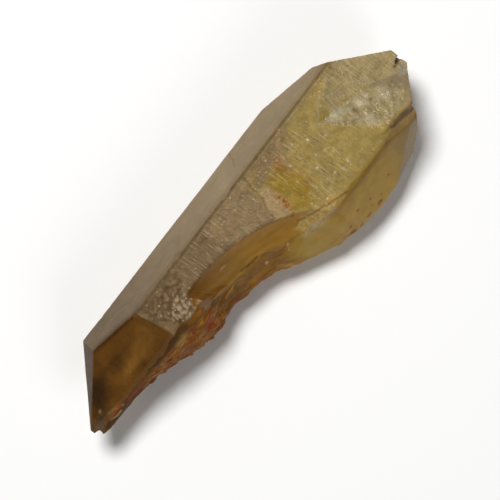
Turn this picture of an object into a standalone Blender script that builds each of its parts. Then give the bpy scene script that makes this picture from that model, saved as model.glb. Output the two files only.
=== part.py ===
"""A citrine crystal point, lying on a flat prism face.

The long axis is X: the smoky narrow tip points to -X and the broad yellow end to +X. Z is up.
A long six-sided crystal and a shorter one beside it on its -Y side are grown together into one
solid. The -Y flank is broken and scooped out, which leaves the narrow end half as wide.
"""

import math
import random

import bmesh
import bpy
from mathutils import Matrix, Vector, noise

MM = 0.001

# Driving dimensions, in millimetres, and angles, in degrees.
LENGTH = 80.0
THICKNESS = 18.0
FRONT_EDGE_Y = 8.75  # the edge between the front face and the upper side face
SIDE_EDGE_Y = 12.95  # the outermost edge of the main crystal, on the +Y side
MAIN_FAR_Y = -5.7  # where the main crystal's front face ends on the -Y side
SECOND_EDGE_Y = -6.9  # where the second crystal's front face ends
SECOND_SIDE_Y = -13.0  # the second crystal's outermost edge
SIDE_TAPER = 0.7
PRISM_STEP = 60.0
RHOMB_TILT = 38.2  # between a prism face and the tip face above it, as in all quartz
SMOKY_TILT = 18.5  # the wide tip face over the front face is gentler
SMOKY_TURN = 189.0  # plan direction in which that face falls away
TIP_START_X = -19.9  # where the smoky tip face leaves the front face
TIP_SIDE_X = -29.0  # where the side faces turn into the tip
TIP_UNDER_X = -27.0  # where the resting face turns up to the tip

KITE_X, KITE_Y = 22.9, 3.56  # the corner where the kite-shaped face starts
KITE_TURN = 35.4  # plan direction in which the kite falls away
SHOULDER_TURN = -60.5  # plan direction in which the face above the kite falls away
KITE_TILT = 19.0

END_X, END_Y, END_Z = 32.75, 1.4, 15.6  # where the kite turns down to the broad end's tip

FLANK_STEP = 0.85  # spacing of the broken flank's sections
FLANK_ROWS = 19
FLANK_UNDER_ROWS = 4  # of those, the ones below its widest line
FLANK_REACH = 16.0  # how far the flank's cutter reaches out past the crystal
SCOOP_START = ((-12.3, 3.5, THICKNESS), (0.75, 0.28, 0.6))  # beside the sugary grains: place, normal
SHORTEST_EDGE = 0.02
SEED = 11

# The broken flank, as (X, Y) points in millimetres: where it leaves the top, and its widest line.
FLANK_TOP = [(-42, 1.9), (-33, 1.6), (-27, 1.5), (-22, 1.3), (-19, 1.7), (-17, 2.1), (-14.5, 1.3),
             (-11.5, 0.8), (-8, 1.6), (0, 1.2), (5, -0.9), (8, -3.0), (12, -5.7), (16, -7.7), (24, -10.5)]
FLANK_EDGE = [(-42, 1.9), (-37.3, 0.7), (-30, 0.45), (-25, -0.8), (-17, -3.7), (-13.5, -4.15),
              (-8.7, -3.45), (-4.5, -4.6), (0, -6.1), (4, -8.6), (10.4, -11.6), (15, -12.75),
              (24, -14.0)]

# Raised growth ledges on the front face: (X, Y), length, and lean from the Y direction in degrees.
GROWTH_LEDGES = [((14.75, 2.4), 3.0, 6), ((14.5, -1.2), 2.0, -2), ((17.0, -0.9), 1.6, 4),
                 ((17.5, 4.8), 1.2, 8), ((19.6, -4.3), 1.2, 12), ((21.2, -3.9), 0.9, 0),
                 ((18.2, -3.6), 1.0, -8), ((19.8, 3.0), 2.2, 6), ((22.3, 1.3), 1.6, 0),
                 ((20.2, 0.0), 1.0, -20), ((16.7, -3.3), 1.2, -6), ((13.5, 2.4), 1.0, -24),
                 ((16.3, 1.5), 1.4, 8), ((18.6, 0.6), 1.3, 0), ((15.6, -4.6), 0.9, 10),
                 ((21.0, -1.4), 1.5, 4)]
LEDGE_WIDTH = 0.6  # at the foot, which is sunk in the face


def direction(degrees):
    angle = math.radians(degrees)
    return Vector((math.cos(angle), math.sin(angle), 0.0))


def prism_normal(step):
    """Step 0 is the front face, on top. Steps go round by 60 degrees, towards +Y first."""
    angle = math.radians(PRISM_STEP * step)
    return Vector((0.0, math.sin(angle), math.cos(angle)))


def rhomb_normal(step, end):
    tilt = math.radians(RHOMB_TILT)
    return prism_normal(step) * math.cos(tilt) + Vector((end * math.sin(tilt), 0.0, 0.0))


def drop_normal(turn, tilt):
    """The upward normal of a face that falls away in the plan direction turn."""
    angle = math.radians(tilt)
    return direction(turn) * math.sin(angle) + Vector((0.0, 0.0, math.cos(angle)))


def side_height(y):
    """Height on the upper side face, which falls at 60 degrees from the front edge."""
    return THICKNESS - (y - FRONT_EDGE_Y) * math.tan(math.radians(PRISM_STEP))


def main_faces():
    """Point on the face and outward normal, for each face of the long crystal."""
    side_z = side_height(SIDE_EDGE_Y)
    taper = Vector((math.sin(math.radians(SIDE_TAPER)), 0.0, 0.0))
    return [
        ((0, 0, THICKNESS), prism_normal(0)),
        ((0, FRONT_EDGE_Y, THICKNESS), prism_normal(1)),
        ((TIP_SIDE_X, SIDE_EDGE_Y, side_z), prism_normal(2) + taper),
        ((0, 0, 0), prism_normal(3)),
        ((0, MAIN_FAR_Y - 5.0, 9.3), prism_normal(4)),
        ((0, MAIN_FAR_Y, THICKNESS), prism_normal(5)),
        # the narrow, smoky tip
        ((TIP_START_X, FRONT_EDGE_Y, THICKNESS), drop_normal(SMOKY_TURN, SMOKY_TILT)),
        ((TIP_SIDE_X, SIDE_EDGE_Y, side_z), rhomb_normal(1, -1)),
        ((TIP_SIDE_X, SIDE_EDGE_Y, side_z), rhomb_normal(2, -1)),
        ((TIP_UNDER_X, 0, 0), rhomb_normal(3, -1)),
        ((-LENGTH / 2, 0, 11), (-1, 0, 0.1)),
        # the broad, yellow end
        ((20.7, 12.3, side_height(12.3)), (0.354, 0.85, -0.393)),
        ((31.7, FRONT_EDGE_Y, THICKNESS), (0.638, 0.769, -0.05)),
        ((37.5, -4.2, 14.8), (0.592, -0.78, -0.2)),
        ((LENGTH / 2, 0, 12.5), (1, 0.02, -0.05)),
        ((31.5, 0, 0), rhomb_normal(3, 1)),
    ]


def second_faces():
    """The shorter crystal that bulges out on the -Y side."""
    corner_z = THICKNESS - (SECOND_EDGE_Y - SECOND_SIDE_Y) * math.tan(math.radians(PRISM_STEP))
    return [
        ((0, 0, THICKNESS), prism_normal(0)),
        ((0, SECOND_EDGE_Y, THICKNESS), prism_normal(5)),
        ((20, SECOND_SIDE_Y, corner_z), prism_normal(4) + Vector((0.05, 0, 0))),
        ((0, 0, 0), prism_normal(3)),
        ((0, -3, 9), (0, 1, 0)),
        ((-6, 0, 9), (-1, 0, 0)),
        ((34.8, -7.1, THICKNESS), (0.245, -0.9385, 0.25)),
        ((32.7, -9.9, 9.4), (0.70, -0.64, -0.32)),
        ((34.9, -7.3, 16.8), (0.925, -0.36, -0.123)),
        ((29.6, 0, THICKNESS), drop_normal(-18, 24)),
        ((30.5, 0, 0), rhomb_normal(3, 1)),
    ]


def add_object(name, bm, collection):
    """A mesh object made from bm, scaled from millimetres to metres."""
    bmesh.ops.recalc_face_normals(bm, faces=bm.faces)
    bmesh.ops.scale(bm, vec=(MM, MM, MM), verts=bm.verts)
    mesh = bpy.data.meshes.new(name)
    bm.to_mesh(mesh)
    bm.free()
    obj = bpy.data.objects.new(name, mesh)
    collection.objects.link(obj)
    return obj


def faced_block(faces, size=2 * LENGTH):
    """A cube with a flat cut through each point, keeping what lies behind the normal."""
    bm = bmesh.new()
    bmesh.ops.create_cube(bm, size=size)
    for point, normal in faces:
        everything = bm.verts[:] + bm.edges[:] + bm.faces[:]
        cut = bmesh.ops.bisect_plane(
            bm, geom=everything, plane_co=point, plane_no=normal, clear_outer=True
        )
        rim = [part for part in cut["geom_cut"] if isinstance(part, bmesh.types.BMEdge)]
        if rim:
            bmesh.ops.contextual_create(bm, geom=rim)
    return bm


def along(points, x):
    """Y at x on a smooth line through the points."""
    for (x0, y0), (x1, y1) in zip(points, points[1:]):
        if x0 <= x <= x1:
            t = (x - x0) / (x1 - x0)
            smooth = t * t * (3 - 2 * t)
            return y0 + (y1 - y0) * (0.65 * t + 0.35 * smooth)
    return points[-1][1] if x > points[-1][0] else points[0][1]


def top_height(x):
    """Height of the top faces along the flank's upper edge."""
    smoky_start = TIP_START_X + 1.0
    if x > smoky_start:
        return THICKNESS
    return THICKNESS - (smoky_start - x) * math.tan(math.radians(SMOKY_TILT))


def flank_point(x, row):
    """One point of the broken flank: rows go from above the crystal to below it."""
    top_z = top_height(x)
    top_y = along(FLANK_TOP, x)
    edge_y = along(FLANK_EDGE, x)
    edge_z = 6.6 + 3.4 * max(0.0, min(1.0, (-28 - x) / 11))
    slope_rows = FLANK_ROWS - 1 - FLANK_UNDER_ROWS
    if row == 0:
        return Vector((x, top_y + 0.25 * (top_y - edge_y), top_z + 2.8))
    if row <= slope_rows:
        t = (row - 1) / (slope_rows - 1)
        swell = 0.5 * math.sin(math.pi * t ** 1.4)
        rounded = 0.4 * max(0.0, min(1.0, (-11 - x) / 4))
        out = t ** (1 - rounded)
        return Vector((x, top_y + (edge_y - top_y) * out - swell, top_z + (edge_z - top_z) * t))
    t = (row - slope_rows) / FLANK_UNDER_ROWS
    undercut = 4.6 - 4.2 * max(0.0, min(1.0, (-24 - x) / 8))
    return Vector((x, edge_y + undercut * t ** 1.3, edge_z - (edge_z + 1.5) * t))


def fracture(point):
    """Depth of the broken surface's relief at a point: long curved steps with chipped edges."""
    rough = 1.0 - 0.75 * max(0.0, min(1.0, (point.x - 1.5) / 4.0))
    rough *= 1.0 - 0.8 * max(0.0, min(1.0, (-28 - point.x) / 7))
    lengthwise = Vector((point.x * 0.17, point.y * 0.42, point.z * 0.42))
    steps = noise.noise(lengthwise) * 3.0
    ledge = (steps - math.floor(steps)) ** 2.2
    chips = noise.voronoi(Vector((point.x * 0.36, point.y * 0.5, point.z * 0.5)))[0][0]
    return rough * (0.5 * ledge + 0.35 * chips + 0.2 * noise.noise(point * 0.9) - 0.4)


def broken_flank(collection):
    """A thick sheet whose inner side is the flank, for cutting the flank away."""
    first, last = FLANK_EDGE[0][0], FLANK_EDGE[-1][0]
    columns = round((last - first) / FLANK_STEP)
    bm = bmesh.new()
    sheet = []
    for column in range(columns + 1):
        x = first + (last - first) * column / columns
        line = []
        for row in range(FLANK_ROWS):
            point = flank_point(x, row)
            if 0 < row:
                point.y -= fracture(point)
                point.z += 0.25 * noise.noise(point * 0.6 + Vector((9, 0, 0)))
            line.append(bm.verts.new(point))
        sheet.append(line)
    for left, right in zip(sheet, sheet[1:]):
        for row in range(FLANK_ROWS - 1):
            bm.faces.new((left[row], left[row + 1], right[row + 1], right[row]))
    walls = bmesh.ops.extrude_face_region(bm, geom=bm.faces[:])
    outer = [part for part in walls["geom"] if isinstance(part, bmesh.types.BMVert)]
    for vert in outer:
        vert.co.y = -SIDE_EDGE_Y - FLANK_REACH
    return add_object("flank_cutter", bm, collection)


def cut_back(bm, place, normal):
    """Keeps the part of a closed mesh on one side of a plane, and closes it there."""
    geometry = bm.verts[:] + bm.edges[:] + bm.faces[:]
    cut = bmesh.ops.bisect_plane(bm, geom=geometry, plane_co=place, plane_no=normal, clear_inner=True)
    rim = [piece for piece in cut["geom_cut"] if isinstance(piece, bmesh.types.BMEdge)]
    bmesh.ops.edgeloop_fill(bm, edges=rim)
    bmesh.ops.recalc_face_normals(bm, faces=bm.faces)


def scoop(name, centre, radii, turns, collection, subdivisions=3, start=None):
    """A smooth or chipped hollow: a stretched and turned icosphere, cut off at its start if it has one."""
    bm = bmesh.new()
    bmesh.ops.create_icosphere(bm, subdivisions=subdivisions, radius=1.0)
    bmesh.ops.scale(bm, vec=radii, verts=bm.verts)
    turn = Matrix.Rotation(math.radians(turns[0]), 3, "Z") @ Matrix.Rotation(math.radians(turns[1]), 3, "X")
    bmesh.ops.rotate(bm, verts=bm.verts, cent=(0, 0, 0), matrix=turn)
    bmesh.ops.translate(bm, vec=centre, verts=bm.verts)
    if start:
        cut_back(bm, *start)
    return add_object(name, bm, collection)


def kite_cutters(collection):
    """Wedges over the kite face and the end face beyond it. Both stop at the shoulder beside them."""
    corner = (KITE_X, KITE_Y, THICKNESS)
    shoulder = (corner, -drop_normal(SHOULDER_TURN, KITE_TILT))
    kite = (corner, -drop_normal(KITE_TURN, KITE_TILT))
    end = ((END_X, END_Y, END_Z), -drop_normal(33.2, 33))
    return [
        add_object("kite_cutter", faced_block([shoulder, kite]), collection),
        add_object("end_cutter", faced_block([shoulder, end]), collection),
    ]


def wedge_cutter(collection):
    """Takes the corner off where the front face meets the flank and the second crystal."""
    start = (8.3, -3.15, THICKNESS)
    ends = [((5.5, 0, 0), (-1, 0, 0)), ((18.5, 0, 0), (1, 0, 0)), ((0, -9, 0), (0, -1, 0))]
    block = faced_block([(start, -drop_normal(-112, 20))] + ends, size=60)
    return add_object("wedge_cutter", block, collection)


def on_plane(point, normal, x, y):
    """Height at (x, y) of the plane through point."""
    return point[2] - (normal[0] * (x - point[0]) + normal[1] * (y - point[1])) / normal[2]


def hillock(name, place, normal, radii, depth, spin, collection, top=0.3):
    """A low many-sided lump that stands half its depth out of a face."""
    bm = bmesh.new()
    bmesh.ops.create_cone(bm, cap_ends=True, segments=5, radius1=1, radius2=top, depth=depth)
    bmesh.ops.scale(bm, vec=(radii[0], radii[1], 1), verts=bm.verts)
    bmesh.ops.rotate(bm, verts=bm.verts, cent=(0, 0, 0), matrix=Matrix.Rotation(spin, 3, "Z"))
    turn = Vector((0, 0, 1)).rotation_difference(Vector(normal)).to_matrix()
    bmesh.ops.rotate(bm, verts=bm.verts, cent=(0, 0, 0), matrix=turn)
    bmesh.ops.translate(bm, vec=place, verts=bm.verts)
    return add_object(name, bm, collection)


def kite_scales(rng, collection):
    """Growth hillocks that overlap like scales over the kite face."""
    normal = drop_normal(KITE_TURN, KITE_TILT)
    corner = Vector((KITE_X, KITE_Y, THICKNESS))
    across, down = direction(KITE_TURN), direction(KITE_TURN - 90)
    bumps = []
    for index in range(36):
        right = rng.uniform(0.9, 5.9)
        place = corner + across * right + down * rng.uniform(right * 1.1 + 1.2, 12.0)
        place.z = on_plane(corner, normal, place.x, place.y)
        place += normal * rng.uniform(-0.08, 0.04)
        width = rng.uniform(0.7, 1.4)
        spin = rng.uniform(0, math.tau)
        bumps.append(hillock(f"scale_{index}", place, normal, (width, width), 0.5, spin, collection))
    return bumps


def sugary_grains(rng, collection):
    """The crust of small grains on the front face, next to the smoky tip face."""
    grains = []
    for index in range(34):
        height = THICKNESS - rng.uniform(0.02, 0.09)
        place = Vector((rng.uniform(-17.8, -12.3), rng.uniform(4.0, 7.6), height))
        width = rng.uniform(0.35, 0.75)
        spin = rng.uniform(0, math.tau)
        grains.append(hillock(f"grain_{index}", place, (0, 0, 1), (width, width), 0.36, spin, collection))
    return grains


def side_steps(rng, collection):
    """Thin growth plates on the two side faces that lean over the floor."""
    plates = []
    faces = [(2, (-22, 16), 3.2, 5.2), (4, (15, 25), 1.2, 3.6)]  # step, X span, slide, middle Z
    for step, span, slide, middle_z in faces:
        normal = prism_normal(step)
        for index in range(9):
            x, z = rng.uniform(*span), middle_z + rng.uniform(-slide, slide)
            place = Vector((x, step_y(step, x, z), z))
            place += normal * rng.uniform(-0.06, 0.06)
            size = (rng.uniform(0.9, 2.6), rng.uniform(1.2, 3.2))
            name = f"plate_{step}_{index}"
            plates.append(hillock(name, place, normal, size, 0.4, 0, collection, top=0.8))
    return plates


def step_y(step, x, z):
    """Y on a lower side face at (x, z)."""
    if step == 2:
        edge_z, edge_y = side_height(SIDE_EDGE_Y), SIDE_EDGE_Y
        taper = math.sin(math.radians(SIDE_TAPER)) / math.sin(math.radians(PRISM_STEP))
        return edge_y - (edge_z - z) / math.tan(math.radians(PRISM_STEP)) - (x - TIP_SIDE_X) * taper
    corner_z = THICKNESS - (SECOND_EDGE_Y - SECOND_SIDE_Y) * math.tan(math.radians(PRISM_STEP))
    return SECOND_SIDE_Y + (corner_z - z) / math.tan(math.radians(PRISM_STEP)) + (x - 20) * 0.058


def growth_ledges(rng, collection):
    """Low raised ledges that run across the front face."""
    ledges = []
    for index, ((x, y), length, lean) in enumerate(GROWTH_LEDGES):
        place = Vector((x, y, THICKNESS - rng.uniform(0.02, 0.06)))
        size = (LEDGE_WIDTH / 2, length / 2)
        spin = math.radians(lean)
        ledges.append(hillock(f"ledge_{index}", place, (0, 0, 1), size, 0.22, spin, collection, top=0.7))
    return ledges


def hollows(rng, collection):
    """The scoops, notches and chips, each as a cutter."""
    cuts = [
        scoop("long_scoop", (-4.9, -7.6, 24.3), (23.0, 12.6, 12.6), (-14, 0), collection, 5, SCOOP_START),
        scoop("flank_scoop", (-21, -7.4, 15.6), (9.5, 6.0, 6.0), (-14, 0), collection, 4),
        scoop("tip_notch", (-40.1, 1.3, 10.4), (1.3, 0.7, 1.2), (20, 0), collection, 2),
        scoop("end_notch", (39.9, -0.35, 13.6), (1.3, 0.5, 2.2), (-6, 12), collection, 2),
        scoop("end_chip", (40.6, -2.4, 14.4), (2.0, 1.3, 1.5), (35, 0), collection, 2),
        scoop("seam_groove", (33.2, -6.2, 18.1), (4.4, 0.55, 1.6), (2, -20), collection, 3),
    ]
    edges = [
        ((-17, 30), FRONT_EDGE_Y, THICKNESS),
        ((-26, 20), SIDE_EDGE_Y, side_height(SIDE_EDGE_Y)),
        ((-24, 28), 5.9, 0.0),
        ((12, 26), SECOND_EDGE_Y, THICKNESS),
        ((12, 28), SECOND_SIDE_Y, 7.4),
    ]
    for line, (span, y, z) in enumerate(edges):
        for chip in range(3):
            place = (rng.uniform(*span), y + rng.uniform(0, 0.25) * math.copysign(1, y), z)
            size = rng.uniform(0.35, 0.8)
            radii = (size * 1.8, size * 0.6, size * 0.6)
            cuts.append(scoop(f"chip_{line}_{chip}", place, radii, (0, 0), collection, 1))
    return cuts


def combine(target, other, operation):
    modifier = target.modifiers.new(other.name, "BOOLEAN")
    modifier.operation = operation
    modifier.object = other
    modifier.solver = "EXACT"
    other.hide_render = True
    other.display_type = "WIRE"


def apply_booleans(target):
    """Makes the joined and cut shape the object's own mesh, with the origin under its middle.

    The slivers that the cuts leave are removed.
    """
    graph = bpy.context.evaluated_depsgraph_get()
    bm = bmesh.new()
    bm.from_mesh(target.evaluated_get(graph).data)
    target.modifiers.clear()
    bmesh.ops.triangulate(bm, faces=bm.faces)
    for _ in range(3):
        bmesh.ops.dissolve_degenerate(bm, dist=SHORTEST_EDGE * MM, edges=bm.edges)
        bmesh.ops.triangulate(bm, faces=bm.faces)
    low = [min(vert.co[axis] for vert in bm.verts) for axis in range(3)]
    high = [max(vert.co[axis] for vert in bm.verts) for axis in range(3)]
    middle = Vector(((low[0] + high[0]) / 2, (low[1] + high[1]) / 2, low[2]))
    bmesh.ops.translate(bm, vec=-middle, verts=bm.verts)
    bm.to_mesh(target.data)
    bm.free()


def citrine_material():
    material = bpy.data.materials.new("smoky_citrine")
    material.use_nodes = True
    shader = material.node_tree.nodes["Principled BSDF"]
    shader.inputs["Base Color"].default_value = (0.42, 0.30, 0.11, 1)
    shader.inputs["Roughness"].default_value = 0.35
    shader.inputs["Metallic"].default_value = 0
    shader.inputs["IOR"].default_value = 1.544
    shader.inputs["Transmission Weight"].default_value = 0.5
    material.diffuse_color = (0.42, 0.30, 0.11, 1)
    return material


def build():
    for obj in list(bpy.data.objects):
        bpy.data.objects.remove(obj)
    rng = random.Random(SEED)
    parts = bpy.data.collections.new("citrine_crystal_point")
    cutters = bpy.data.collections.new("cutters")
    for collection in (parts, cutters):
        bpy.context.scene.collection.children.link(collection)

    crystal = add_object("citrine_crystal", faced_block(main_faces()), parts)
    crystal.data.materials.append(citrine_material())
    combine(crystal, add_object("second_crystal", faced_block(second_faces()), cutters), "UNION")
    combine(crystal, broken_flank(cutters), "DIFFERENCE")
    for cutter in kite_cutters(cutters) + [wedge_cutter(cutters)] + hollows(rng, cutters):
        combine(crystal, cutter, "DIFFERENCE")
    growth = [kite_scales, growth_ledges, sugary_grains, side_steps]
    for add_growth in growth:
        for lump in add_growth(rng, cutters):
            combine(crystal, lump, "UNION")
    apply_booleans(crystal)


build()
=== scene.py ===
# Citrine crystal point: a smoky tip, a frosted yellow end, and a broken, iron-stained flank.
import math

import bpy
import numpy as np
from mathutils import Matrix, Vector, noise


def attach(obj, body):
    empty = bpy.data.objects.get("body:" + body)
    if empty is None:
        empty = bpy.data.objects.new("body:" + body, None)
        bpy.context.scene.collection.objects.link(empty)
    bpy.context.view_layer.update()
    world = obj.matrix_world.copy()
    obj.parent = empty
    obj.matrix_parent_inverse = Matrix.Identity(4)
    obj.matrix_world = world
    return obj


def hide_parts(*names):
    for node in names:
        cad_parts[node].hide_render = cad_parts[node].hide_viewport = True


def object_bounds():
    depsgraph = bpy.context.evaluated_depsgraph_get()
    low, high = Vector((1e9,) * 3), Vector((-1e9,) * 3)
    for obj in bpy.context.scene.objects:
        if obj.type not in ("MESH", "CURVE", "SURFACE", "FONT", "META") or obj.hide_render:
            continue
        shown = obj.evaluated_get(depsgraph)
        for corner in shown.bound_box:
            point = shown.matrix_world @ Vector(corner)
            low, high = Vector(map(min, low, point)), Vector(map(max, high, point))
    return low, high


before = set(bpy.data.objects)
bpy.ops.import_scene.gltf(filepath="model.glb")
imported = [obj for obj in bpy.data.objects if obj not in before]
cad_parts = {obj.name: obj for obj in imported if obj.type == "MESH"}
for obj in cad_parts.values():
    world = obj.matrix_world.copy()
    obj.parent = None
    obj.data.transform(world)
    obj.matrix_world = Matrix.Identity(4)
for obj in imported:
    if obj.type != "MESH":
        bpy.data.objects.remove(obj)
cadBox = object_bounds()
mm = 0.001


def linearColour(picked):
    # from the 0 to 255 values that a colour picker shows
    share = np.array(picked) / 255
    return np.where(share < 0.04045, share / 12.92, ((share + 0.055) / 1.055) ** 2.4)


def smooth(low, high, value):
    step = np.clip((value - low) / (high - low), 0, 1)
    return step * step * (3 - 2 * step)


def fadeIn(name, value):
    return smooth(*fades[name], value)


def fadeOut(name, value):
    return 1 - fadeIn(name, value)


def selectOnly(obj):
    bpy.ops.object.select_all(action="DESELECT")
    obj.select_set(True)
    bpy.context.view_layer.objects.active = obj


def applyModifier(obj, kind, **settings):
    selectOnly(obj)
    modifier = obj.modifiers.new(kind.lower(), kind)
    for key, value in settings.items():
        setattr(modifier, key, value)
    bpy.ops.object.modifier_apply(modifier=modifier.name)


# the crystal's surface mesh: even cells, laid back onto the flat faces

surfaceMesh = {
    "cell": 0.253,  # mm between the surface's points
    "mergeWithin": 0.004,  # mm
}


def copyOfNode(nodeName, pieceName):
    piece = bpy.data.objects.new(pieceName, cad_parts[nodeName].data.copy())
    bpy.context.scene.collection.objects.link(piece)
    piece.data.materials.clear()
    selectOnly(piece)
    bpy.ops.object.mode_set(mode="EDIT")
    bpy.ops.mesh.select_all(action="SELECT")
    bpy.ops.mesh.remove_doubles(threshold=surfaceMesh["mergeWithin"] * mm)
    bpy.ops.mesh.customdata_custom_splitnormals_clear()
    bpy.ops.object.mode_set(mode="OBJECT")
    return piece


def evenSurface():
    solid = copyOfNode("citrine_crystal", "solid_shape")
    piece = copyOfNode("citrine_crystal", "crystal_surface")
    applyModifier(piece, "REMESH", mode="VOXEL", voxel_size=surfaceMesh["cell"] * mm)
    applyModifier(piece, "SHRINKWRAP", target=solid, wrap_method="NEAREST_SURFACEPOINT")
    bpy.data.objects.remove(solid)
    return piece


crystal = evenSurface()
print("surface mesh:", len(crystal.data.vertices), "points")


def pointsOf(piece):
    # positions in millimetres, and normals
    count = len(piece.data.vertices)
    place, normal = np.zeros(count * 3), np.zeros(count * 3)
    piece.data.vertices.foreach_get("co", place)
    piece.data.vertices.foreach_get("normal", normal)
    return place.reshape(-1, 3) / mm, normal.reshape(-1, 3)


def noiseAt(places, size, stretch=(1, 1, 1), shift=0.0):
    scaled = places / (np.array(stretch) * size) + shift
    return np.array([noise.noise(Vector(point)) for point in scaled])


def pushedAbout(places, size, reach, shift):
    # the same places, each moved a little, so that a pattern on them is less regular
    push = [noiseAt(places, size, shift=shift + 20 * axis) for axis in range(3)]
    return places + np.stack(push, 1) * reach


def cellsAt(places, size, stretch=(1, 1, 1), shift=0.0):
    # distance to the nearest and the second nearest cell centre
    scaled = places / (np.array(stretch) * size) + shift
    return np.array([noise.voronoi(Vector(point))[0][:2] for point in scaled]).T


# the crystal's flat faces, each as a point in mm and the way it faces

prismAngle = math.radians(60)
rhombAngle = math.radians(38.2)
thickness = 18.0
frontEdge = 8.75
sideEdge = 12.95
sideHeight = thickness - (sideEdge - frontEdge) * math.tan(prismAngle)
kiteCorner = (22.9, 3.56, thickness)


def prismFace(step):
    return np.array([0, math.sin(prismAngle * step), math.cos(prismAngle * step)])


def rhombFace(step, end):
    return prismFace(step) * math.cos(rhombAngle) + np.array([end * math.sin(rhombAngle), 0, 0])


def fallingFace(turn, tilt):
    turn, tilt = math.radians(turn), math.radians(tilt)
    return np.array([math.cos(turn) * math.sin(tilt), math.sin(turn) * math.sin(tilt), math.cos(tilt)])


flatFaces = {
    "front": ((0, 0, thickness), prismFace(0)),
    "upperSide": ((0, frontEdge, thickness), prismFace(1)),
    "lowerSide": ((-29, sideEdge, sideHeight), prismFace(2) + np.array([0.0122, 0, 0])),
    "resting": ((0, 0, 0), prismFace(3)),
    "smoky": ((-19.9, frontEdge, thickness), fallingFace(189, 18.5)),
    "tipSide": ((-29, sideEdge, sideHeight), rhombFace(1, -1)),
    "tipBack": ((-29, sideEdge, sideHeight), rhombFace(2, -1)),
    "tipUnder": ((-27, 0, 0), rhombFace(3, -1)),
    "farSide": ((0, -10.7, 9.3), prismFace(4)),
    "shoulder": (kiteCorner, fallingFace(-60.5, 19)),
    "end": ((32.75, 1.4, 15.6), fallingFace(33.2, 33)),
    "second": ((0, -6.9, thickness), prismFace(5)),
    "secondLow": ((20, -13.0, 7.434), prismFace(4) + np.array([0.05, 0, 0])),
    "secondEnd": ((34.8, -7.1, thickness), np.array([0.245, -0.9385, 0.25])),
    "hollowStart": ((-12.3, 3.5, thickness), np.array([0.75, 0.28, 0.6])),
}

hollowShapes = {  # centre, radii, turn about Z
    "longHollow": ((-4.9, -7.6, 24.3), (23.0, 12.6, 12.6), -14),
    "tipHollow": ((-21.0, -7.4, 15.6), (9.5, 6.0, 6.0), -14),
}

outlines = {  # X, Y in mm, seen from above
    "sugaryPatch": [(-19.6, 8.9), (-18.7, 3.9), (-17.3, 2.2), (-15.3, 1.2), (-12.2, 0.4), (-11.9, 2.0),
                    (-12.2, 3.6), (-11.4, 4.5), (-10.6, 7.6), (-11.2, 8.9)],
    "whiteLumps": [(-16.9, 3.6), (-16.9, 2.2), (-15.3, 1.1), (-12.4, 0.5), (-12.2, 2.2), (-12.4, 3.7),
                   (-12.1, 5.0), (-14.2, 5.4)],
    "growthLines": [(-11.0, 8.7), (-12.0, 3.4), (-2.6, 3.2), (-2.2, 8.7)],
    "faintLines": [(-2.6, 8.7), (-2.8, 3.2), (6.2, -0.2), (8.0, 6.0), (8.4, 8.7)],
    "paleTab": [(6.5, 0.0), (7.0, 2.2), (7.9, 4.1), (9.5, 4.5), (9.7, 1.8), (8.9, -1.5), (8.1, -2.4),
                (7.2, -1.7)],
    "yellowGlow": [(9.7, 4.3), (12.0, 4.5), (14.5, 3.9), (15.1, 0.6), (14.1, -2.3), (11.6, -3.2),
                   (9.5, -1.9), (9.9, 1.0)],
    "yellowEnd": [(8.6, 8.7), (8.6, -3.4), (18.0, -7.0), (29.8, -7.0), (22.9, 3.56), (31.6, 8.7)],
    "kite": [(22.9, 3.56), (32.8, 1.3), (36.3, -4.0), (35.2, -5.0), (31.0, -5.4), (29.4, -4.9)],
    "wedge": [(6.6, -3.5), (9.5, -3.3), (12.0, -4.2), (17.4, -6.5), (16.2, -7.0), (11.2, -6.9), (7.5, -6.2)],
    "roughBand": [(-31.0, 1.2), (-27.4, 1.1), (-23.2, 0.4), (-19.0, 0.0), (-16.0, 0.2), (-11.5, -0.4),
                  (-10.5, -5.0), (-18.0, -5.4), (-30.0, -0.4)],
    "underSmoky": [(-40.0, 3.4), (-18.6, 3.4), (-17.3, 2.3), (-15.8, 1.2), (-16.4, 0.2), (-19.0, 0.1),
                   (-23.2, 0.5), (-27.4, 1.2), (-31.5, 1.3), (-34.0, 0.9), (-40.0, 0.6)],
    "browned": [(8.6, 8.7), (8.9, 4.6), (12.0, 4.8), (15.2, 4.3), (18.2, 6.4), (19.5, 8.7)],
    "smokyGlow": [(-31.0, 4.8), (-27.0, 5.4), (-22.8, 6.6), (-21.5, 6.8), (-20.8, 3.2), (-23.0, 2.9),
                  (-28.0, 2.8), (-31.5, 3.4)],
    "hollowTip": [(-12.5, 3.3), (-13.0, 1.4), (-12.4, 0.0), (-10.4, -0.6), (-10.6, 3.4)],
    "ledgeZone": [(12.0, 7.5), (20.5, 7.0), (21.5, 2.5), (22.0, -4.0), (18.0, -6.4), (12.5, -5.0),
                  (11.0, 2.0)],
    "shelf": [(26.0, -6.5), (29.4, -6.3), (34.9, -7.1), (34.8, -8.3), (32.8, -8.8), (26.4, -7.5)],
    "raisedFront": [(-20.5, 9.5), (-20.5, 2.0), (-12.0, 2.4), (-2.5, 2.6), (3.7, 0.4), (6.4, -0.2),
                    (6.9, 2.2), (7.7, 3.5), (8.1, 6.0), (8.5, 9.5)],
    "notchWall": [(29.6, -5.5), (35.4, -6.1), (35.2, -6.9), (33.5, -7.3), (29.6, -6.4)],
    "underLine": [(9.0, -6.7), (12.0, -7.2), (28.0, -7.2), (28.0, -8.0), (17.0, -8.3), (8.0, -8.0)],
}

usualSoftness = 1.1  # mm over which an outline's edge fades

softness = {  # the outlines whose edge fades over another distance
    "kite": 0.25, "raisedFront": 0.25, "notchWall": 0.25, "shelf": 0.4, "hollowTip": 0.8, "sugaryPatch": 1.6,
    "whiteLumps": 1.6, "yellowGlow": 3.0, "browned": 3.0, "smokyGlow": 3.0, "ledgeZone": 3.0,
}

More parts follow.
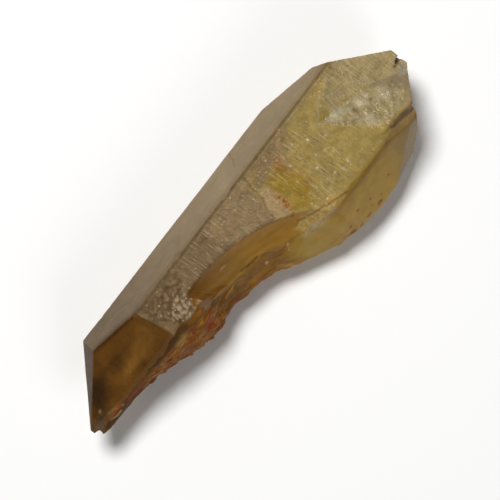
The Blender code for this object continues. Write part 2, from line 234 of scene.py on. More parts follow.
fades = {  # X or Y in mm over which a finish comes in
    "hollowFrom": (-14.5, -13.0), "hollowTo": (12.0, 13.0),
    "flankTo": (11.5, 14.5), "flankInside": (3.0, 4.2),
    "wideHalf": (6.5, 9.5), "darkBack": (-24.0, -16.0),
    "beigeEnd": (30.5, 35.5), "shoulderEnd": (24.0, 27.5),
    "goldFrom": (2.0, 8.0), "goldBelow": (-6.9, -6.4), "goldSecond": (9.0, 12.0),
    "goldFlank": (1.0, 6.0), "goldFlankBelow": (-5.2, -4.2), "lavender": (23.0, 31.0),
    "flankLight": (-33.0, -22.0), "flankWarm": (-9.0, -3.0), "hollowBright": (-12.0, 2.0),
    "frostedBright": (-30.0, 8.0), "ridgeFrom": (-20.5, -18.5), "ridge": (0.2, 1.7),
}

faceFit = {  # when a point counts as on a flat face
    "away": (0.1, 0.32),  # mm off its plane
    "facing": (0.35, 0.65),
    "sharpness": 40,  # of the choice between two faces
}

hollowFit = (0.12, 0.4)  # mm off a hollow's surface

facingUp = (-0.05, 0.25)  # the upward part of a surface's direction, from hidden to seen from above

wanderWaves = ((1.7, 0.7), (0.6, 0.3))  # size and reach in mm of the waves that make outlines uneven

spotFade = (0.25, 1.25)  # where a spot's edge fades, in shares of its half length and half width


def onFlatFaces(places, normals):
    # each point's share of each flat face: the shares add up to 1 there, and to 0 where it is broken
    near, facing = [], []
    for point, outward in flatFaces.values():
        outward = outward / np.linalg.norm(outward)
        away = np.abs((places - np.array(point)) @ outward)
        near.append(1 - smooth(*faceFit["away"], away))
        facing.append(np.clip(normals @ outward, 0, 1))
    near, facing = np.array(near), np.array(facing)
    scores = near * facing ** faceFit["sharpness"]
    flat = np.max(near * smooth(*faceFit["facing"], facing), axis=0)
    return dict(zip(flatFaces, scores / (scores.sum(axis=0) + 1e-15) * flat))


def onHollow(places, name):
    centre, radii, turn = hollowShapes[name]
    turn = math.radians(turn)
    offset = places - np.array(centre)
    x = offset[:, 0] * math.cos(turn) + offset[:, 1] * math.sin(turn)
    y = -offset[:, 0] * math.sin(turn) + offset[:, 1] * math.cos(turn)
    reach = np.sqrt((x / radii[0]) ** 2 + (y / radii[1]) ** 2 + (offset[:, 2] / radii[2]) ** 2)
    return 1 - smooth(*hollowFit, np.abs(reach - 1) * radii[2])


def toLine(points, x, y):
    # distance to the line through the points
    nearest = np.full(x.shape, 1e9)
    for (x0, y0), (x1, y1) in zip(points, points[1:]):
        length = (x1 - x0) ** 2 + (y1 - y0) ** 2
        along = np.clip(((x - x0) * (x1 - x0) + (y - y0) * (y1 - y0)) / length, 0, 1)
        nearest = np.minimum(nearest, np.hypot(x - x0 - along * (x1 - x0), y - y0 - along * (y1 - y0)))
    return nearest


def insideOutline(points, x, y, soft):
    # 1 well inside the outline, 0 well outside, changing over soft millimetres
    inside = np.zeros(x.shape, bool)
    closed = points + points[:1]
    for (x0, y0), (x1, y1) in zip(closed, closed[1:]):
        if y0 != y1:
            inside ^= ((y0 > y) != (y1 > y)) & (x < x0 + (y - y0) * (x1 - x0) / (y1 - y0))
    away = toLine(closed, x, y)
    return smooth(-soft / 2, soft / 2, np.where(inside, away, -away))


def insideSpot(x, y, spotX, spotY, halfLength, halfWidth, turn):
    turn = math.radians(turn)
    along = (x - spotX) * math.cos(turn) + (y - spotY) * math.sin(turn)
    across = (y - spotY) * math.cos(turn) - (x - spotX) * math.sin(turn)
    return 1 - smooth(*spotFade, np.hypot(along / halfLength, across / halfWidth))


def faceMasks(piece):
    places, normals = pointsOf(piece)
    x, y, z = places.T
    wander = [sum(noiseAt(places, size, shift=shift) * reach for size, reach in wanderWaves)
              for shift in (0, 30)]  # one along X and one along Y
    masks = onFlatFaces(places, normals)
    flat = np.sum([masks[name] for name in flatFaces], axis=0)
    above = smooth(*facingUp, normals[:, 2])
    for name, outline in outlines.items():
        soft = softness.get(name, usualSoftness)
        shift = min(soft, 1)
        masks[name] = insideOutline(outline, x + wander[0] * shift, y + wander[1] * shift, soft) * above
    hollow = onHollow(places, "longHollow") * (1 - flat) * fadeIn("hollowFrom", x) * fadeOut("hollowTo", x)
    hollow = np.clip(hollow + masks["hollowStart"], 0, 1)
    flank = np.clip(1 - flat + masks["hollowStart"], 0, 1)
    flank *= fadeOut("flankTo", x) * fadeOut("flankInside", y)
    tipHollow = onHollow(places, "tipHollow") * flank * (1 - hollow)
    masks.update(hollow=hollow, tipHollow=tipHollow, flank=flank, above=above, wander=wander[0])
    masks["broken"] = flank * (1 - hollow)
    return masks


# relief, pushed along the surface

reliefDepth = {  # mm
    "flank": 0.05, "ledges": 0.09, "scales": 0.15, "lumps": 0.15, "waves": 0.03, "streaks": 0.03,
    "growth": 0.02, "grains": 0.10, "dents": 0.012, "step": 0.07,
}

reliefPatterns = {  # size in mm, its stretch along X, Y and Z, and a shift that tells patterns apart
    "ledges": (1.7, (3.2, 0.8, 0.8), 4), "flank": (1.1, (2.4, 0.8, 0.8), 7),
    "scales": (0.95, (1.15, 1, 1), 3), "lumps": (0.7, (1, 1, 1), 5), "grains": (0.6, (1, 1, 1), 9),
    "streaks": (0.8, (8, 0.6, 0.6), 2), "growth": (0.5, (0.9, 4, 4), 8),
    "dents": (1.0, (0.8, 1.4, 1), 12), "waves": (3.0, (1, 1, 1), 15),
}

reliefShares = {  # how much of a relief a place gets, where it isn't all
    "smokyWaves": 0.2, "sideWaves": 0.3, "calmFlank": 0.45, "tipHollow": 0.4,
    "sugarLumps": 0.4, "whiteLumps": 0.8, "secondStreaks": 0.5, "faintGrowth": 0.4, "tabGrains": 0.3,
}

unevenCells = (1.1, 0.5, 40)  # size and reach in mm, and shift, of what pushes scales and lumps about

alongFlank = np.array([[0.97, -0.24, 0], [0.24, 0.97, 0], [0, 0, 1]])  # turned 14 degrees, as the flank is


def sidesOf(masks):
    return masks["lowerSide"] + masks["secondLow"] + masks["farSide"]


def carveRelief(piece, masks):
    places, normals = pointsOf(piece)
    depth, pattern, share = reliefDepth, reliefPatterns, reliefShares
    lengthwise = places @ alongFlank.T
    ledges = noiseAt(lengthwise, *pattern["ledges"]) * 3
    ledges = (ledges - np.floor(ledges)) ** 2 * depth["ledges"]  # steps, each with a sharp lip
    bark = (0.4 - np.abs(noiseAt(lengthwise, *pattern["flank"])) * 2) * depth["flank"]
    uneven = pushedAbout(places, *unevenCells)
    near, second = cellsAt(uneven, *pattern["scales"])
    scales = smooth(0.0, 0.22, second - near) * (0.35 + 0.65 * near)  # sloped plates with grooves between
    scales = (scales - 0.5) * depth["scales"]
    near = cellsAt(uneven, *pattern["lumps"])[0]
    lumps = (0.75 - near * 1.3) * depth["lumps"]
    lumpTops = smooth(0.62, 0.22, near)
    grains = (0.6 - cellsAt(places, *pattern["grains"])[0] * 1.2) * depth["grains"]
    streaks = noiseAt(lengthwise, *pattern["streaks"]) * depth["streaks"]
    growth = noiseAt(places, *pattern["growth"]) * depth["growth"]
    dents = noiseAt(places, *pattern["dents"]) * depth["dents"]
    waves = noiseAt(places, *pattern["waves"]) * depth["waves"]

    push = waves * (1 - masks["smoky"] * (1 - share["smokyWaves"]))
    push *= 1 - masks["upperSide"] * (1 - share["sideWaves"])
    broken = masks["broken"] * (share["calmFlank"] + (1 - share["calmFlank"]) * masks["roughBand"])
    push += (ledges + bark) * broken * (1 - (1 - share["tipHollow"]) * masks["tipHollow"])
    push += scales * masks["kite"]
    push += lumps * masks["sugaryPatch"] * (share["sugarLumps"] + share["whiteLumps"] * masks["whiteLumps"])
    push += streaks * (masks["hollow"] + share["secondStreaks"] * masks["second"])
    lined = masks["growthLines"] + share["faintGrowth"] * masks["faintLines"] + sidesOf(masks)
    push += growth * np.clip(lined, 0, 1)
    push += dents * (masks["yellowEnd"] + masks["shoulder"] + masks["end"])
    push += grains * np.clip(masks["wedge"] + share["tabGrains"] * masks["paleTab"], 0, 1)
    push += depth["step"] * masks["raisedFront"] * masks["front"]
    push *= smooth(0.05, 0.5, places[:, 2])  # the resting face stays flat
    low, high = (np.array(corner) / mm for corner in cadBox)
    moved = np.clip(places + normals * push[:, None], low, high)
    piece.data.vertices.foreach_set("co", (moved * mm).ravel())
    piece.data.update()
    crevices = smooth(0.45, 0.1, (ledges / depth["ledges"] + bark / depth["flank"]) / 2)
    return {"crevices": crevices, "lumpTops": lumpTops}


# painting: the colour and finish of every part of the surface

# colours for stains, lines and spots; some of them paint light and shade: the glow streaks, the pale
# highlights, and the dark lines, gaps and notch spot painted as shade
colours = {
    "glowAmber": (176, 122, 50), "glowAmberDim": (120, 82, 36), "smokeDark": (56, 38, 22),
    "smokeBrown": (74, 48, 22), "purpleSmoke": (56, 40, 28), "paintedHighlight": (206, 184, 152),
    "rustDark": (84, 34, 8), "orange": (148, 94, 38), "paleLine": (188, 172, 128),
    "yellowLine": (178, 152, 50), "edgeShadeLine": (96, 62, 28), "creamLine": (172, 146, 92),
    "redLine": (134, 88, 62), "straw": (160, 126, 66), "smudge": (98, 72, 42), "glowYellow": (188, 156, 52),
    "pinkBrown": (132, 98, 58), "greyChip": (160, 154, 136), "darkGap": (116, 94, 44),
    "notchShade": (82, 62, 36), "goldPale": (200, 164, 78), "lumpWhite": (188, 168, 138),
    "lumpGapShade": (84, 60, 32), "edgeGold": (128, 98, 40), "tipGrey": (116, 99, 80),
    "kitePale": (208, 196, 164), "ridgeShade": (108, 86, 56),
}

# colour, how clear, roughness, grain, frost, growth ledges, veils, mottling, lengthwise streaks
finishes = {
    "olive": ((179, 153, 82), 0.40, 0.28, 0.22, 0.06, 0.30, 0.6, 0.35, 0),
    "beige": ((160, 140, 100), 0.26, 0.42, 0.30, 0.14, 0.30, 0.4, 0.7, 0),
    "browned": ((140, 112, 70), 0.34, 0.34, 0.30, 0.16, 0.30, 0.5, 0.8, 0),
    "back": ((184, 150, 88), 0.50, 0.34, 0.25, 0.04, 0.45, 0.5, 0.3, 0.3),
    "frosted": ((147, 128, 98), 0.14, 0.55, 0.30, 0.03, 0, 0.25, 0.15, 0.15),
    "frostedGrey": ((111, 93, 71), 0.14, 0.55, 0.30, 0.03, 0, 0.3, 0.15, 0.15),
    "lowerSide": ((160, 134, 92), 0.30, 0.45, 0.30, 0.03, 0, 0.4, 0.2, 0.3),
    "tipSide": ((78, 60, 36), 0.14, 0.50, 0.30, 0.03, 0, 0.3, 0.15, 0),
    "striated": ((120, 95, 62), 0.30, 0.38, 0.30, 0.10, 0.55, 0.3, 0.4, 0),
    "sugar": ((100, 72, 36), 0.24, 0.55, 0.60, 0.16, 0, 0.3, 0.9, 0),
    "whiteSugar": ((114, 86, 48), 0.20, 0.50, 0.70, 0.45, 0, 0.2, 0.8, 0),
    "mottled": ((142, 116, 78), 0.32, 0.38, 0.40, 0.22, 0.35, 0.5, 0.9, 0),
    "smoke": ((145, 97, 39), 0.68, 0.10, 0.03, 0, 0, 0.5, 0, 0),
    "smokeGlow": ((138, 97, 40), 0.40, 0.25, 0.03, 0, 0, 0.6, 0, 0.4),
    "smokeEdge": ((76, 46, 12), 0.04, 0.70, 0.10, 0, 0, 0.5, 0.2, 0.4),
    "flank": ((116, 72, 8), 0.06, 0.75, 0.30, 0.0, 0, 0.4, 0.3, 0.8),
    "flankWarm": ((146, 98, 16), 0.06, 0.75, 0.30, 0.0, 0, 0.4, 0.3, 0.8),
    "flankDark": ((78, 44, 3), 0.06, 0.75, 0.30, 0.0, 0, 0.4, 0.3, 0.8),
    "straw": ((172, 122, 40), 0.06, 0.60, 0.60, 0.04, 0, 0.3, 0.6, 0.5),
    "hollow": ((182, 131, 40), 0.40, 0.50, 0.05, 0, 0, 0.2, 0.1, 0.4),
    "hollowDim": ((141, 94, 28), 0.40, 0.50, 0.05, 0, 0, 0.2, 0.1, 0.4),
    "hollowStart": ((122, 82, 32), 0.30, 0.30, 0.20, 0, 0, 0.2, 0.3, 0.4),
    "shelf": ((150, 122, 80), 0.20, 0.45, 0.25, 0.05, 0, 0.3, 0.5, 0),
    "gold": ((184, 146, 54), 0.22, 0.55, 0.04, 0, 0, 0.25, 0.08, 0.1),
    "goldDeep": ((156, 114, 36), 0.22, 0.55, 0.04, 0, 0, 0.25, 0.08, 0.1),
    "lavender": ((142, 117, 74), 0.20, 0.50, 0.04, 0, 0, 0.2, 0.05, 0),
    "yellow": ((192, 153, 54), 0.50, 0.24, 0.20, 0.06, 0.25, 0.7, 0.3, 0),
    "wedge": ((200, 163, 84), 0.32, 0.26, 0.60, 0.55, 0.1, 0.2, 0.8, 0),
    "tab": ((166, 138, 94), 0.20, 0.42, 0.45, 0.25, 0.1, 0.4, 0.9, 0),
    "kite": ((168, 150, 106), 0.26, 0.22, 0.80, 0.60, 0, 0.3, 0.6, 0),
    "endFace": ((180, 160, 112), 0.26, 0.40, 0.50, 0.34, 0.6, 0.4, 0.8, 0),
    "endLow": ((148, 130, 98), 0.24, 0.42, 0.50, 0.15, 0.2, 0.4, 0.8, 0),
    "notch": ((136, 110, 72), 0.20, 0.45, 0.30, 0, 0, 0.5, 0.4, 0),
}

softSpots = [  # colour, X, Y, half length, half width, turn, strength
    # the golden streaks on the smoky tip are painted glow, of light seen through the crystal
    ("glowAmber", -26.1, 4.1, 3.4, 1.0, 3, 0.95), ("glowAmber", -23.6, 6.0, 3.6, 2.4, 0, 0.4),
    ("glowAmberDim", -28.4, 6.4, 4.6, 1.1, -3, 0.7), ("glowAmber", -20.6, 5.0, 1.2, 3.0, 8, 0.3),
    ("purpleSmoke", -34.2, 5.6, 3.8, 2.2, 35, 0.8), ("smokeDark", -36.6, 3.2, 2.6, 1.3, 15, 0.35),
    ("smokeBrown", -24.5, 9.6, 6.5, 0.7, -10, 0.7), ("smokeDark", -32.6, 3.8, 1.0, 0.35, -50, 0.25),
    # the pale spot on the tip is a painted highlight
    ("paintedHighlight", -36.5, 3.6, 0.45, 0.25, 20, 0.8), ("rustDark", -25.6, 2.4, 0.6, 0.35, -20, 0.6),
    ("smudge", -3.1, 7.1, 1.7, 0.45, -8, 0.75), ("smudge", -4.2, 7.5, 0.8, 0.3, 0, 0.4),
    ("orange", 13.9, 5.2, 1.5, 1.1, 20, 0.6), ("orange", 13.4, 3.8, 1.4, 1.5, 5, 0.45),
    # the bright yellow spots in the yellow end are painted glow, of light seen through the crystal
    ("glowYellow", 12.2, 0.9, 1.8, 1.6, 0, 0.85), ("glowYellow", 11.3, 3.2, 1.6, 0.9, 0, 0.4),
    ("glowYellow", 11.0, -1.6, 1.9, 0.9, -20, 0.7), ("orange", 8.9, 6.4, 0.3, 0.8, 10, 0.7),
    ("orange", 21.8, 2.2, 0.5, 0.35, 0, 0.6), ("straw", -6.6, 1.0, 6.0, 0.8, -12, 0.45),
    ("pinkBrown", -3.0, -2.6, 5.5, 1.1, -10, 0.5), ("pinkBrown", 1.6, -3.4, 2.4, 1.4, -20, 0.5),
    # the pale spots along the hollow's edge are painted highlights
    ("paintedHighlight", -5.2, 1.9, 0.8, 0.16, -10, 0.7), ("paintedHighlight", -0.2, -3.4, 0.3, 0.25, 0, 1.0),
    ("paintedHighlight", 4.3, -4.3, 0.45, 0.25, 30, 0.5), ("paintedHighlight", 3.8, -5.0, 0.4, 0.2, 30, 0.5),
    ("greyChip", 38.7, -1.9, 1.2, 0.9, 40, 0.9), ("smokeBrown", 38.6, -0.5, 0.8, 0.35, 0, 0.9),
    # the dark spot in the notch is painted shade
    ("notchShade", 33.2, -6.4, 1.7, 0.45, -6, 0.35), ("goldPale", 13.8, -10.2, 3.4, 1.2, 6, 0.4),
    ("tipGrey", -38.4, 2.4, 2.0, 1.2, 10, 0.75), ("straw", -18.7, -0.1, 2.6, 0.7, 0, 0.6),
    ("kitePale", 26.4, 2.2, 2.4, 1.1, -20, 0.6), ("kitePale", 30.2, 0.6, 1.8, 1.2, -20, 0.5),
    ("kitePale", 28.8, -2.6, 1.2, 1.4, 0, 0.5), ("kitePale", 33.4, -1.6, 1.5, 1.6, 0, 0.4),
    # the pale spots on the wedge are painted highlights
    ("paintedHighlight", 9.6, -6.0, 0.9, 0.3, 20, 0.8), ("paintedHighlight", 11.3, -5.6, 0.5, 0.2, 30, 0.6),
    ("darkGap", 28.5, 0.2, 0.35, 0.9, 10, 0.7), ("darkGap", 31.4, -0.9, 0.3, 0.8, 0, 0.7),
    ("darkGap", 30.3, -3.1, 1.1, 0.8, 20, 0.5), ("darkGap", 26.0, -0.2, 2.6, 0.8, -52, 0.35),
]

dulledEdges = [  # the lines along the sharp edges, where the surface shines less and its colour is painted a little darker, as shade
    [(-40.0, 2.2), (-33.0, 1.6), (-27.0, 1.5), (-22.0, 1.3), (-19.0, 1.7), (-17.0, 2.1)],
    [(-11.0, -0.4), (-8.0, -1.2), (-4.0, -1.6), (0.0, -3.0), (4.0, -5.0), (6.0, -5.6)],
    [(15.0, -6.9), (17.0, -6.9), (28.0, -6.9), (34.8, -8.2)],
    [(-19.9, 8.75), (31.6, 8.75)],
]

strokes = [  # colour, half width, strength and the line's points
    ("paleLine", 0.14, 0.75, [(22.9, 3.56), (25.3, 5.55), (27.2, 6.7)]),
    ("yellowLine", 0.22, 0.6, [(27.6, 2.9), (30.0, 2.2), (33.0, 1.4)]),
    ("redLine", 0.14, 0.6, [(10.2, 12.4), (9.95, 11.4), (9.1, 10.4)]),
    # the dark brown lines along the step and along the wedge's upper edge are painted shade
    ("edgeShadeLine", 0.16, 0.5, [(6.4, 0.2), (6.9, 2.2), (7.7, 3.5), (8.1, 6.0), (8.5, 8.2)]),
    ("edgeShadeLine", 0.18, 0.6, [(8.3, -3.2), (10.8, -4.4), (13.7, -5.6), (17.0, -6.7)]),
    ("creamLine", 0.26, 0.5, [(7.5, -6.2), (12.0, -6.7), (16.0, -6.85)]),
    ("edgeGold", 0.6, 0.4, [(17.0, -7.05), (28.0, -7.05), (34.6, -8.4)]),
    ("rustDark", 0.2, 0.7, [(-3.8, -0.9), (-2.0, -1.3), (-0.4, -1.5)]),
    ("creamLine", 0.22, 0.6, [(0.4, -5.2), (1.8, -6.6), (2.9, -8.1)]),
    # the faint dark brown line along the hollow's upper edge is painted shade
    ("edgeShadeLine", 0.2, 0.25, [(-12.2, 3.4), (-9.1, 4.15), (-2.5, 3.4), (0.6, 2.5), (3.7, 1.0), (6.4, 0.0)]),
    ("creamLine", 0.14, 0.5, [(-12.0, 0.2), (-7.0, -0.6), (-3.0, -1.2)]),
    ("creamLine", 0.14, 0.45, [(-9.0, -1.6), (-6.0, -1.2), (-4.6, -1.8)]),
    ("creamLine", 0.2, 0.7, [(-35.8, 2.3), (-34.6, 1.9), (-33.2, 1.2)]),
    ("creamLine", 0.16, 0.6, [(-36.4, 1.3), (-35.2, 0.9), (-34.2, 0.9)]),
    ("smokeBrown", 0.16, 0.5, [(-19.9, 8.7), (-29.0, 10.4)]),
]

ledgeHighlights = [  # X, Y, length, lean in degrees and strength of each bright growth ledge: a highlight painted along it as a pale streak
    (14.75, 2.5, 3.6, 6, 0.8), (14.5, -1.2, 2.0, -2, 1.0), (17.0, -0.9, 1.6, 4, 0.8),
    (17.5, 4.8, 1.2, 8, 0.7), (19.6, -4.3, 1.2, 12, 1.0), (21.2, -3.9, 0.9, 0, 1.0),
    (18.2, -3.6, 1.0, -8, 0.7), (19.8, 3.2, 2.6, 6, 0.4), (22.6, 1.5, 1.8, 0, 0.5),
    (20.2, 0.0, 1.0, -20, 0.6), (16.7, -3.3, 1.2, -6, 0.6), (13.8, 2.7, 1.0, -24, 0.6),
    (16.4, 1.5, 1.4, 8, 0.4), (18.6, 0.6, 1.3, 0, 0.45), (15.8, -4.4, 0.9, 10, 0.5),
    (21.0, -1.4, 1.5, 4, 0.4), (12.9, 7.0, 1.1, -30, 0.4), (19.0, 7.8, 0.9, 70, 0.4),
    (12.6, -5.4, 0.7, 60, 0.8), (9.1, -4.9, 0.6, 20, 0.9),
]

rustSpots = [  # X, Y, half length, half width and strength
    (-35.2, 1.5, 0.9, 0.4, 0.8), (-33.9, 1.7, 0.5, 0.6, 0.8), (-31.2, 1.0, 1.6, 0.3, 0.7),
    (-27.9, 0.9, 0.9, 0.3, 0.7), (-25.6, 0.1, 1.4, 0.35, 1), (-22.4, -1.7, 1.0, 0.5, 1),
    (-21.1, -2.3, 1.3, 0.4, 0.9), (-16.8, -1.1, 1.9, 0.5, 1.2), (-13.9, -1.9, 1.4, 0.5, 1.2),
    (-17.8, -2.6, 1.5, 0.5, 1), (-12.6, -0.9, 1.1, 0.3, 0.7), (-8.1, -3.2, 1.1, 0.4, 0.8),
    (-3.6, -4.7, 2.2, 0.4, 0.9), (10.4, -11.4, 1.3, 0.4, 1.0), (12.2, -11.9, 1.0, 0.4, 1.0),
    (19.3, -12.3, 0.6, 0.25, 1.2), (17.9, -11.7, 0.5, 0.25, 1.0), (15.8, -10.1, 0.3, 0.2, 1.0),
    (16.6, -12.2, 0.6, 0.2, 1.1), (14.6, -12.1, 0.5, 0.2, 1.0), (20.4, -11.6, 0.3, 0.15, 1.1),
    (23.6, -10.6, 0.2, 0.2, 1.2), (18.6, -10.6, 0.25, 0.15, 1.0), (13.0, -10.9, 0.3, 0.15, 1.0),
    (9.3, 0.6, 0.45, 1.6, 1.4), (8.6, -1.3, 0.5, 0.8, 1.1),
]


coverage = {  # how strongly a finish or a colour covers its place, where it isn't all
    "whiteSugar": 0.8, "straw": 0.6, "smokeGlow": 0.5, "goldDeep": 0.7, "lavender": 0.7, "ridge": 0.65,
    "gaps": (0.35, 0.35), "tops": (0.25, 0.45),  # on the sugary patch, and added on the white lumps
    "creviceRust": 0.7, "frontLedges": 0.4, "sideLedges": 0.3,
}

edgeWearAndShade = {  # how the dulled edges differ from the faces beside them, with a darker tint as painted shade
    "reach": (0.25, 0.8),  # mm off the line
    "smoothing": 0.85, "rough": 0.8, "paintedShade": 0.1,
}

# how the highlights painted along the growth ledges look
ledgeHighlightLook = {"stretch": 0.7, "halfWidth": 0.2, "pale": 0.95, "smoothing": 0.5}

rustSpread = (1.25, 1.3)  # lengthwise and across

strokeFade = (0.4, 1.5)  # where a line's edge fades, in shares of its half width

strokeWander, beigeWander = 0.12, 1.5  # mm, how far a line and the beige end's edge stray

channels = ("clear", "rough", "grain", "frost", "ledges", "veil", "mottle", "streak")


def paintSurface(piece, masks, carved):
    places, normals = pointsOf(piece)
    x, y, z = places.T
    count = len(places)
    look = {name: np.zeros(count) for name in (*channels, "rust")}
    look["tint"] = np.zeros((count, 3))

    def finish(name, mask):
        look["tint"] += (linearColour(finishes[name][0]) - look["tint"]) * mask[:, None]
        for channel, value in zip(channels, finishes[name][1:]):
            look[channel] += (value - look[channel]) * mask

    def tintOnly(name, mask):
        look["tint"] += (linearColour(colours[name]) - look["tint"]) * mask[:, None]

    def onSugar(name):
        onPatch, onLumps = coverage[name]
        return np.clip(masks["sugaryPatch"] * onPatch + masks["whiteLumps"] * onLumps, 0, 1)

    above = masks["above"]
    narrow = fadeOut("wideHalf", x + masks["wander"])
    finish("olive", np.ones(count))
    belowFront = fadeIn("goldFrom", x) * fadeOut("goldBelow", y)
    finish("back", 1 - above)
    look["ledges"] *= 1 - (1 - above) * fadeOut("darkBack", x)
    finish("mottled", narrow * above)
    finish("striated", masks["growthLines"])
    finish("beige", fadeIn("beigeEnd", x + masks["wander"] * beigeWander) * above)
    finish("browned", masks["browned"])
    finish("yellow", masks["yellowGlow"])
    finish("endFace", masks["shoulder"] * fadeIn("shoulderEnd", x + masks["wander"]))
    finish("endLow", masks["end"])
    finish("tab", masks["paleTab"])
    finish("sugar", masks["sugaryPatch"])
    finish("whiteSugar", masks["whiteLumps"] * coverage["whiteSugar"])
    # between the lumps the patch's brown is painted darker, as shade in the gaps
    tintOnly("lumpGapShade", (1 - carved["lumpTops"]) * onSugar("gaps"))
    tintOnly("lumpWhite", carved["lumpTops"] * onSugar("tops"))
    finish("gold", belowFront * above)
    finish("flank", masks["flank"])
    finish("flankDark", masks["flank"] * fadeOut("flankLight", x))
    finish("flankWarm", masks["broken"] * fadeIn("flankWarm", x))
    finish("straw", masks["broken"] * masks["roughBand"] * (1 - carved["crevices"]) * coverage["straw"])
    finish("smokeEdge", masks["flank"] * masks["underSmoky"])
    finish("hollow", masks["hollow"])
    finish("hollowDim", masks["hollow"] * fadeOut("hollowBright", x))
    finish("hollowStart", np.maximum(masks["hollowStart"], masks["hollowTip"]))
    finish("smoke", masks["smoky"])
    finish("smokeGlow", masks["smoky"] * masks["smokyGlow"] * coverage["smokeGlow"])
    finish("frosted", masks["upperSide"])
    finish("frostedGrey", masks["upperSide"] * fadeOut("frostedBright", x))
    finish("tipSide", masks["tipSide"])
    finish("lowerSide", masks["lowerSide"])
    finish("gold", masks["second"] * fadeIn("goldSecond", x))
    goldFlank = masks["broken"] * fadeIn("goldFlank", x) * fadeOut("goldFlankBelow", y)
    finish("gold", (1 - masks["second"]) * goldFlank)
    finish("goldDeep", masks["second"] * masks["underLine"] * coverage["goldDeep"])
    finish("shelf", masks["shelf"] * (1 - masks["second"] - masks["secondEnd"]))
    finish("lavender", masks["second"] * fadeIn("lavender", x) * coverage["lavender"])
    finish("lavender", masks["secondEnd"])
    finish("wedge", masks["wedge"] * (1 - masks["second"]))
    finish("kite", masks["kite"])
    finish("notch", masks["notchWall"] * (1 - masks["second"]))
    for name, spotX, spotY, halfLength, halfWidth, turn, strength in softSpots:
        tintOnly(name, insideSpot(x, y, spotX, spotY, halfLength, halfWidth, turn) * strength * above)
    for name, halfWidth, strength, points in strokes:
        away = toLine(points, x + masks["wander"] * strokeWander, y)
        tintOnly(name, (1 - smooth(*strokeFade, away / halfWidth)) * strength * above)
    # painted shade: a darker band along the front's top ridge
    ridge = fadeOut("ridge", frontEdge - y) * (masks["front"] + masks["shoulder"])
    tintOnly("ridgeShade", ridge * fadeIn("ridgeFrom", x) * above * coverage["ridge"])
    for points in dulledEdges:
        near = 1 - smooth(*edgeWearAndShade["reach"], toLine(points, x, y))
        for channel in ("grain", "frost", "ledges"):
            look[channel] *= 1 - edgeWearAndShade["smoothing"] * near
        look["rough"] += (edgeWearAndShade["rough"] - look["rough"]) * near * above
        # painted shade: the tint a little darker along the edges
        look["tint"] *= 1 - edgeWearAndShade["paintedShade"] * (near * above)[:, None]
    # a highlight painted along each growth ledge as a pale streak, with a smoother surface there
    for dashX, dashY, length, lean, strength in ledgeHighlights:
        halfLength, halfWidth = length * ledgeHighlightLook["stretch"], ledgeHighlightLook["halfWidth"]
        ledgeHighlight = insideSpot(x, y, dashX, dashY, halfLength, halfWidth, 90 + lean) * strength * above
        tintOnly("paintedHighlight", ledgeHighlight * ledgeHighlightLook["pale"])
        look["rough"] -= look["rough"] * ledgeHighlight * ledgeHighlightLook["smoothing"]
    for spotX, spotY, halfLength, halfWidth, strength in rustSpots:
        halfLength, halfWidth = halfLength * rustSpread[0], halfWidth * rustSpread[1]
        spot = insideSpot(x, y, spotX, spotY, halfLength, halfWidth, 0) * strength
        look["rust"] = np.maximum(look["rust"], spot * above)
    look["ledges"] += masks["ledgeZone"] * masks["front"] * coverage["frontLedges"]
    look["ledges"] += np.clip(sidesOf(masks), 0, 1) * coverage["sideLedges"]
    rustyCrevices = carved["crevices"] * masks["roughBand"] * masks["broken"] * coverage["creviceRust"]
    look["rust"] = np.maximum(look["rust"], rustyCrevices)
    addColours(piece, "tint", look["tint"])
    addColours(piece, "finish", np.stack([look["clear"], look["rough"], look["grain"]], 1))
    addColours(piece, "marks", np.clip(np.stack([look["rust"], look["ledges"], look["frost"]], 1), 0, 1))
    addColours(piece, "shades", np.stack([look["veil"], look["mottle"], look["streak"]], 1))


def addColours(piece, name, values):
    layer = piece.data.attributes.new(name, "FLOAT_COLOR", "POINT")
    flat = np.ones((len(values), 4))
    flat[:, :values.shape[1]] = values
    layer.data.foreach_set("color", flat.ravel())


# the crystal's material

quartz = {
    "ior": 1.544,
    "specular": 0.2,
    "specularTint": (1.0, 0.82, 0.55),
    "glow": 0.25, "glowReach": (1.0, 0.6, 0.25), "glowScale": 0.003,
    "absorb": (0.84, 0.66, 0.26),  # the colour that light keeps as it passes through
    "density": 40.0,
    "rustColour": (128, 40, 6),
    "rustPale": (138, 76, 18),
    "frostColour": (182, 165, 138),
    # the pale colour of the growth ledges' tops is a painted highlight
    "crestHighlightColour": (194, 176, 140),
    "frostCover": 0.85, "crestHighlightCover": 0.85, "rustPaleCover": 0.6, "rustCover": 0.9,
    "hiding": 0.8,  # how much frost and rust take from the clearness
    "unevenShine": 0.25,
    "bumpDepth": 0.00016,  # m
    "gritHeight": 0.5, "frostHeight": 0.5, "ledgeHeight": 0.4,
    "grainsPerMetre": 1900, "grainSwirl": 0.0003, "swirlsPerMetre": 1800,
}

evenPatterns = {  # repeats per metre, detail, roughness and swirl
    "veils": (210, 5, 0.6, 1.6), "mottled": (900, 4, 0.65, 0), "gritty": (2600, 3, 0.65, 0),
}

longPatterns = {  # size in mm, turn in degrees, detail, roughness and swirl
    "streaks": ((9.0, 1.1, 1.1), -14, 4, 0.6, 0.5), "patches": ((2.4, 1.0, 1.0), -14, 4, 0.6, 0.8),
    "ledgeNoise": ((0.3, 3.0, 1.5), 2, 2, 0.5, 0.2), "brokenUp": ((0.9, 1.8, 1.5), 2, 2, 0.5, 0),
}

